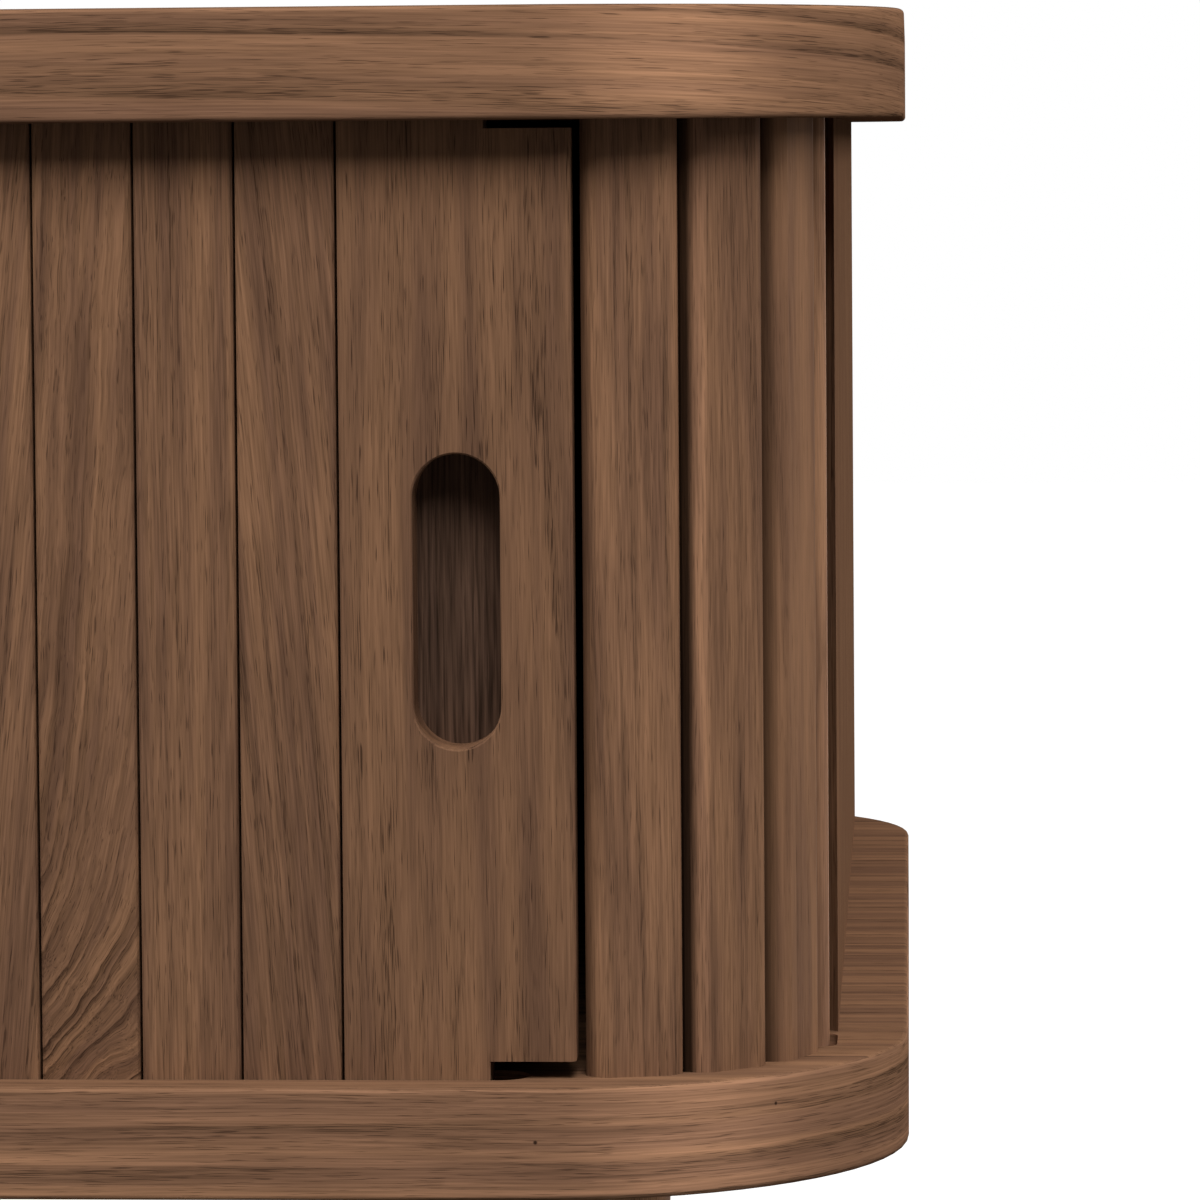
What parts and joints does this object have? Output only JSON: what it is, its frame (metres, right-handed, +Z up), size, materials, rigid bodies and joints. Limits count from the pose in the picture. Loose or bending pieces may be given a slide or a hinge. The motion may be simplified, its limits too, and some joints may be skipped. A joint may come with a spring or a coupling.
{
  "type": "bedside table",
  "caption": "Bedside table with round-cornered slabs, slatted corners and a slatted door that slides on grooves between a cupboard and an open niche, on four turned legs.",
  "frame": {"origin": "on the floor, under the middle of the table's outline", "axes": "+Z up, +X to the right as seen from the front, +Y from the front to the back; the door is at -Y"},
  "size_m": [0.5, 0.446, 0.5],
  "materials": {
    "stained_ash": "satin",
    "stained_ash_inner": "matt",
    "canvas": "woven",
    "zinc_steel": "satin",
    "nylon": "matt"
  },
  "bodies": {
    "table": {"top_slab": "stained_ash", "bottom_slab": "stained_ash", "side_panel_right": "stained_ash", "side_panel_left": "stained_ash", "back_panel": "stained_ash_inner", "divider": "stained_ash", "corner_lining_right": "stained_ash_inner", "corner_lining_left": "stained_ash_inner", "corner_slat_right_1": "stained_ash", "corner_slat_right_2": "stained_ash", "corner_slat_right_3": "stained_ash", "corner_slat_right_4": "stained_ash", "corner_slat_left_1": "stained_ash", "corner_slat_left_2": "stained_ash", "corner_slat_left_3": "stained_ash", "corner_slat_left_4": "stained_ash", "leg_front_right": "stained_ash", "leg_front_left": "stained_ash", "leg_rear_right": "stained_ash", "leg_rear_left": "stained_ash", "bolt_front_right": "zinc_steel", "bolt_front_left": "zinc_steel", "bolt_rear_right": "zinc_steel", "bolt_rear_left": "zinc_steel", "glide_front_right": "nylon", "glide_front_left": "nylon", "glide_rear_right": "nylon", "glide_rear_left": "nylon"},
    "door": {"door_lead_slat": "stained_ash", "door_slat_1": "stained_ash", "door_slat_2": "stained_ash", "door_slat_3": "stained_ash", "door_slat_4": "stained_ash", "door_slat_5": "stained_ash", "door_slat_6": "stained_ash", "door_slat_7": "stained_ash", "door_slat_8": "stained_ash", "door_canvas": "canvas", "pull_backing": "stained_ash_inner"}
  },
  "joints": [
    {"name": "door_slide", "type": "slide", "parent": "table", "child": "door", "axis": [-1, 0, 0], "range_m": [0, 0.1973]}
  ]
}
